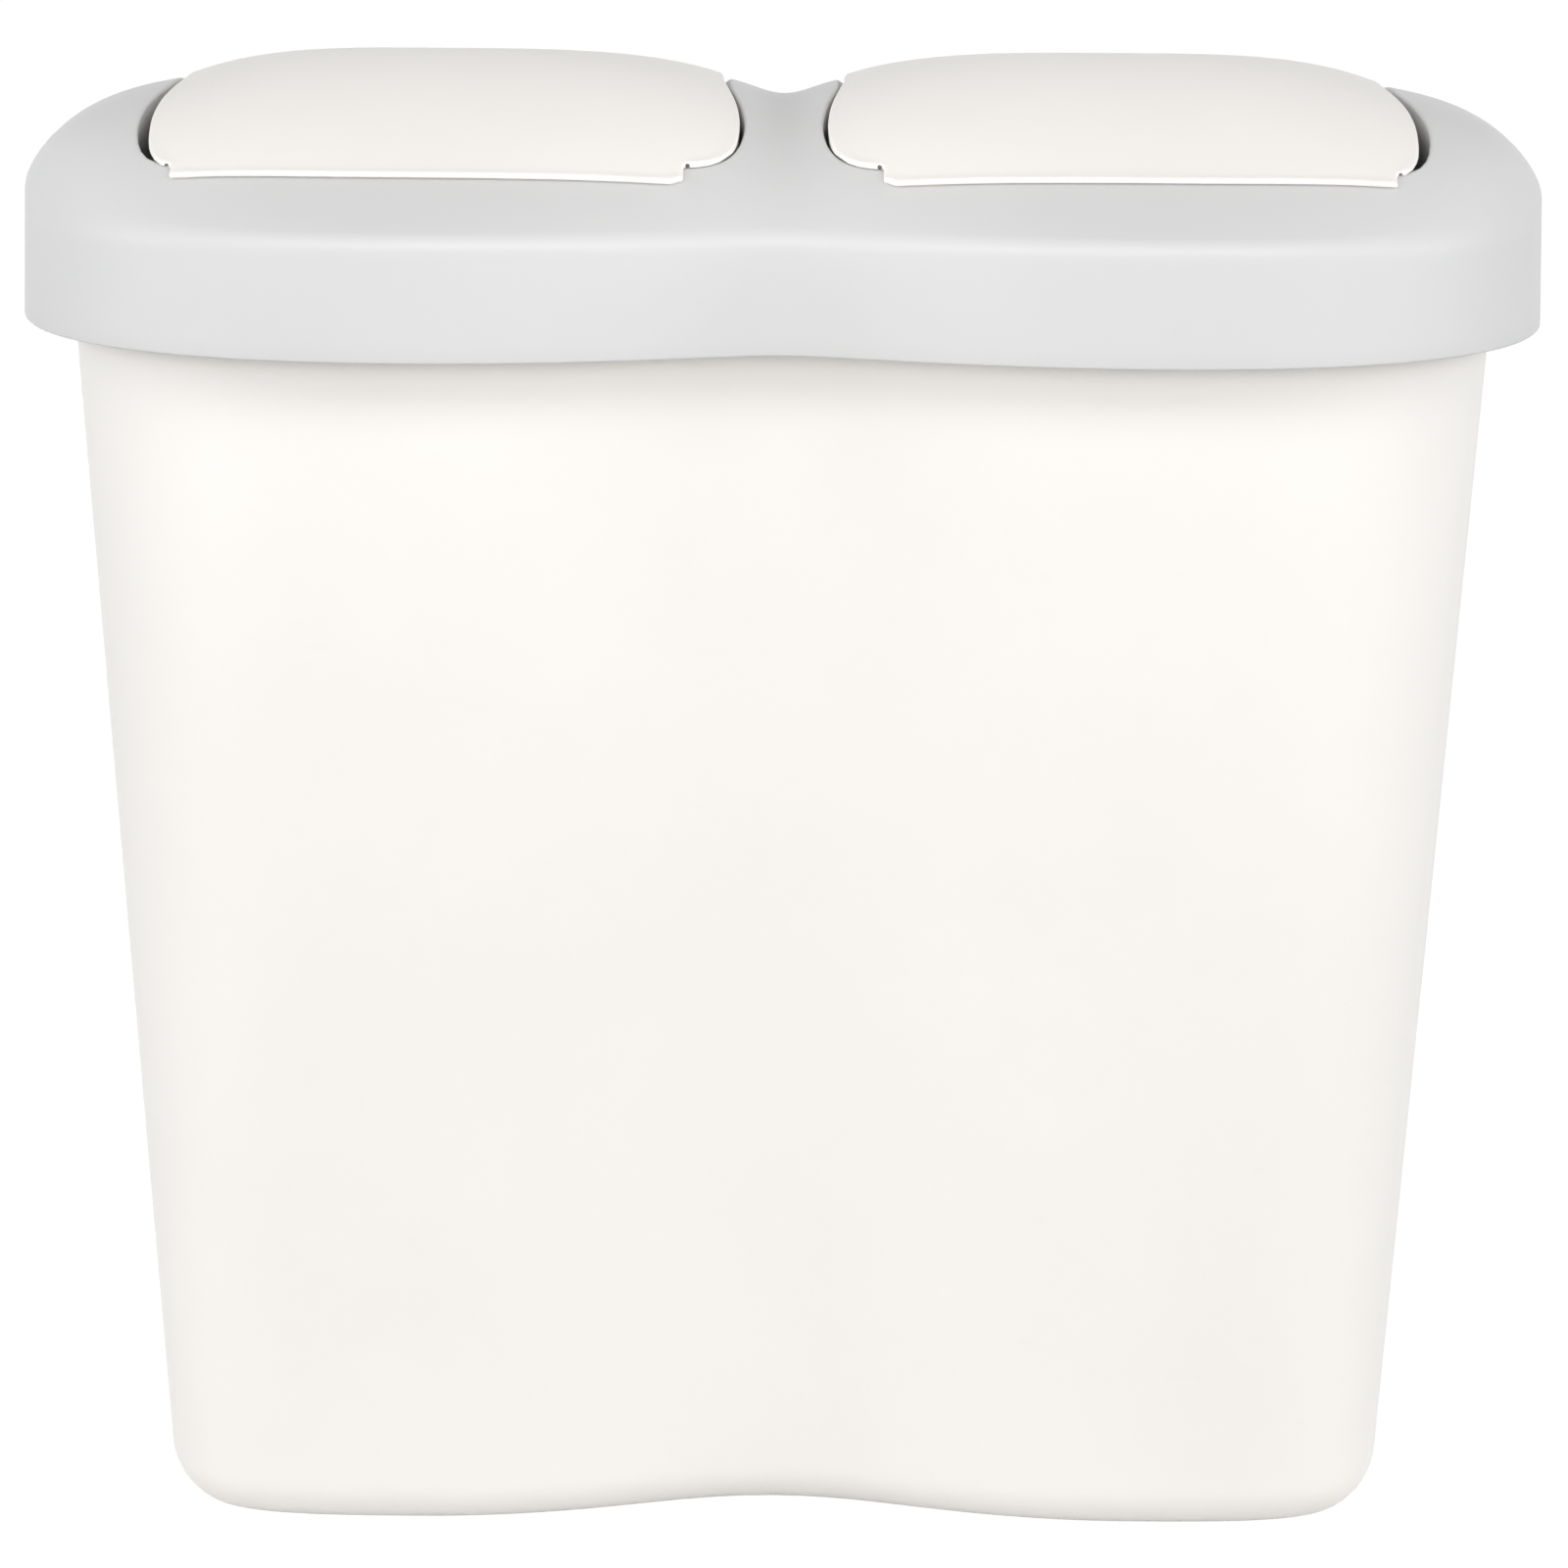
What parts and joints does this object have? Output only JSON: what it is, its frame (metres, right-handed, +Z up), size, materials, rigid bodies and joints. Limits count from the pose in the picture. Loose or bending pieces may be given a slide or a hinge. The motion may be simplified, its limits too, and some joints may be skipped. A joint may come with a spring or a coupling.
{
  "type": "double recycling bin",
  "caption": "Tapered two-lobed floor bin with a lift-off lid, domed tilting flaps with front lips, and lift-out pails on wire bails inside.",
  "frame": {"origin": "middle of the flat underside, on the ground", "axes": "+X to the right as seen from the front, across both lobes; +Y to the back, away from the flaps' lips; +Z up"},
  "size_m": [0.53, 0.292, 0.5094],
  "materials": {
    "cream_plastic": "moulded polypropylene, warm white, fine satin grain",
    "grey_plastic": "moulded polypropylene, light grey, satin",
    "pail_plastic": "moulded polypropylene, mid grey, satin",
    "steel_wire": "zinc-plated wire",
    "grip_plastic": "dark grey moulded tube"
  },
  "bodies": {
    "base": {"body_shell": "cream_plastic"},
    "lid": {"lid_ring": "grey_plastic"},
    "left_flap": {"flap_left": "cream_plastic", "hinge_pin_left_outer": "grey_plastic", "hinge_pin_left_inner": "grey_plastic"},
    "right_flap": {"flap_right": "cream_plastic", "hinge_pin_right_outer": "grey_plastic", "hinge_pin_right_inner": "grey_plastic"},
    "left_bucket": {"bucket_left": "pail_plastic"},
    "right_bucket": {"bucket_right": "pail_plastic"},
    "left_bail": {"bail_left": "steel_wire", "bail_grip_left": "grip_plastic"},
    "right_bail": {"bail_right": "steel_wire", "bail_grip_right": "grip_plastic"}
  },
  "joints": [
    {"name": "lid_lift", "type": "slide", "parent": "base", "child": "lid", "axis": [0, 0, 1], "range_m": [0, 0.9]},
    {"name": "left_flap_tilt", "type": "hinge", "parent": "lid", "child": "left_flap", "pos_m": [-0.1175, 0.03, 0.478], "axis": [-1, 0, 0], "range_deg": [0, 75]},
    {"name": "right_flap_tilt", "type": "hinge", "parent": "lid", "child": "right_flap", "pos_m": [0.1175, 0.03, 0.478], "axis": [-1, 0, 0], "range_deg": [0, 75]},
    {"name": "left_bucket_lift", "type": "slide", "parent": "base", "child": "left_bucket", "axis": [0, 0, 1], "range_m": [0, 0.468]},
    {"name": "right_bucket_lift", "type": "slide", "parent": "base", "child": "right_bucket", "axis": [0, 0, 1], "range_m": [0, 0.468]},
    {"name": "left_bail_swing", "type": "hinge", "parent": "left_bucket", "child": "left_bail", "pos_m": [-0.125, 0, 0.4373], "axis": [-1, 0, 0], "range_deg": [0, 90]},
    {"name": "right_bail_swing", "type": "hinge", "parent": "right_bucket", "child": "right_bail", "pos_m": [0.125, 0, 0.4373], "axis": [-1, 0, 0], "range_deg": [0, 90]}
  ],
  "couplings": [
    {"joint": "left_bucket_lift", "follows": "lid_lift", "ratio": 0.52},
    {"joint": "right_bucket_lift", "follows": "lid_lift", "ratio": 0.52},
    {"joint": "left_bail_swing", "follows": "lid_lift", "rad_per_m": 1.745},
    {"joint": "right_bail_swing", "follows": "lid_lift", "rad_per_m": 1.745}
  ]
}
